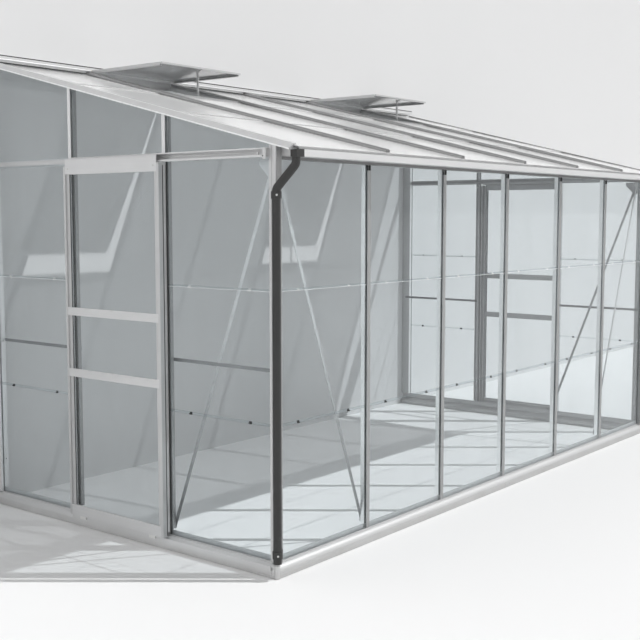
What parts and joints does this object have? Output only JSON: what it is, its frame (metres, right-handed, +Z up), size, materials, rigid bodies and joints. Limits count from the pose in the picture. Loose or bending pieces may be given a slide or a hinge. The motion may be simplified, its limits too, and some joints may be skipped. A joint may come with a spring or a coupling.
{
  "type": "lean-to greenhouse",
  "caption": "Aluminium lean-to greenhouse against a house wall: lapped glass walls and sloping glass roof, hinged roof vents, a sliding door in each gable, gutter and black downpipes.",
  "frame": {"origin": "on the ground under the middle of the bounding box", "axes": "+Z up, +Y towards the house wall, +X along the front"},
  "size_m": [3.8364, 2.0196, 2.24],
  "materials": {
    "mill_aluminium": "satin mill",
    "clear_glass": "clear, flat",
    "black_plastic": "semi-matt",
    "white_nylon": "matt",
    "grey_seal": "matt",
    "bright_steel": "bright"
  },
  "bodies": {
    "frame": {"sill_front_left": "mill_aluminium", "sill_front_right": "mill_aluminium", "sill_gable_left": "mill_aluminium", "sill_gable_right": "mill_aluminium", "sill_splice": "bright_steel", "corner_feet": "mill_aluminium", "corner_post_left": "mill_aluminium", "corner_post_right": "mill_aluminium", "wall_posts": "mill_aluminium", "front_bars": "mill_aluminium", "gable_bars": "mill_aluminium", "gable_upper_bars": "mill_aluminium", "gable_eave_rails": "mill_aluminium", "gable_cross_rails": "mill_aluminium", "eave_beam": "mill_aluminium", "gutter": "mill_aluminium", "gutter_outlets": "black_plastic", "pipe_elbows": "black_plastic", "downpipe_left": "black_plastic", "downpipe_right": "black_plastic", "pipe_sleeves": "black_plastic", "ridge_plate": "mill_aluminium", "roof_bars": "mill_aluminium", "roof_end_bars": "mill_aluminium", "roof_bar_caps": "mill_aluminium", "roof_glass": "clear_glass", "front_glass": "clear_glass", "gable_glass": "clear_glass", "gable_top_glass": "clear_glass", "lap_clips": "bright_steel", "glazing_seals": "grey_seal", "braces": "mill_aluminium", "frame_bolts": "bright_steel", "door_track_left": "mill_aluminium", "door_track_right": "mill_aluminium", "door_floor_guides": "mill_aluminium", "door_stops": "mill_aluminium", "vent_sills": "mill_aluminium"},
    "door_left": {"door_left_stiles": "mill_aluminium", "door_left_rails": "mill_aluminium", "door_left_glass": "clear_glass", "door_left_fixings": "bright_steel", "door_left_shoes": "black_plastic"},
    "door_left_wheel_front": {"door_left_wheel_front": "white_nylon"},
    "door_left_wheel_back": {"door_left_wheel_back": "white_nylon"},
    "door_right": {"door_right_stiles": "mill_aluminium", "door_right_rails": "mill_aluminium", "door_right_glass": "clear_glass", "door_right_fixings": "bright_steel", "door_right_shoes": "black_plastic"},
    "door_right_wheel_front": {"door_right_wheel_front": "white_nylon"},
    "door_right_wheel_back": {"door_right_wheel_back": "white_nylon"},
    "vent_left": {"vent_left_hinge_rail": "mill_aluminium", "vent_left_frame": "mill_aluminium", "vent_left_glass": "clear_glass"},
    "vent_left_stay": {"vent_left_stay": "mill_aluminium"},
    "vent_right": {"vent_right_hinge_rail": "mill_aluminium", "vent_right_frame": "mill_aluminium", "vent_right_glass": "clear_glass"},
    "vent_right_stay": {"vent_right_stay": "mill_aluminium"}
  },
  "joints": [
    {"name": "door_left_slide", "type": "slide", "parent": "frame", "child": "door_left", "axis": [0, -1, 0], "range_m": [0, 0.57]},
    {"name": "door_left_wheel_front_spin", "type": "hinge", "parent": "door_left", "child": "door_left_wheel_front", "pos_m": [-1.897, -0.23125, 1.6882], "axis": [1, 0, 0], "continuous": true},
    {"name": "door_left_wheel_back_spin", "type": "hinge", "parent": "door_left", "child": "door_left_wheel_back", "pos_m": [-1.897, 0.30675, 1.6882], "axis": [1, 0, 0], "continuous": true},
    {"name": "door_right_slide", "type": "slide", "parent": "frame", "child": "door_right", "axis": [0, -1, 0], "range_m": [0, 0.57]},
    {"name": "door_right_wheel_front_spin", "type": "hinge", "parent": "door_right", "child": "door_right_wheel_front", "pos_m": [1.897, -0.23125, 1.6882], "axis": [1, 0, 0], "continuous": true},
    {"name": "door_right_wheel_back_spin", "type": "hinge", "parent": "door_right", "child": "door_right_wheel_back", "pos_m": [1.897, 0.30675, 1.6882], "axis": [1, 0, 0], "continuous": true},
    {"name": "vent_left_hinge", "type": "hinge", "parent": "frame", "child": "vent_left", "pos_m": [-0.93, 0.96275, 2.21596], "axis": [-1, 0, 0], "range_deg": [-15, 14]},
    {"name": "vent_left_stay_pivot", "type": "hinge", "parent": "vent_left", "child": "vent_left_stay", "pos_m": [-0.93, 0.45975, 2.20396], "axis": [-1, 0, 0], "range_deg": [-14, 15]},
    {"name": "vent_right_hinge", "type": "hinge", "parent": "frame", "child": "vent_right", "pos_m": [0.93, 0.96275, 2.21596], "axis": [-1, 0, 0], "range_deg": [-15, 14]},
    {"name": "vent_right_stay_pivot", "type": "hinge", "parent": "vent_right", "child": "vent_right_stay", "pos_m": [0.93, 0.45975, 2.20396], "axis": [-1, 0, 0], "range_deg": [-14, 15]}
  ],
  "couplings": [
    {"joint": "door_left_wheel_front_spin", "follows": "door_left_slide", "rad_per_m": 125},
    {"joint": "door_left_wheel_back_spin", "follows": "door_left_slide", "rad_per_m": 125},
    {"joint": "door_right_wheel_front_spin", "follows": "door_right_slide", "rad_per_m": 125},
    {"joint": "door_right_wheel_back_spin", "follows": "door_right_slide", "rad_per_m": 125},
    {"joint": "vent_left_stay_pivot", "follows": "vent_left_hinge", "ratio": -1},
    {"joint": "vent_right_stay_pivot", "follows": "vent_right_hinge", "ratio": -1}
  ]
}
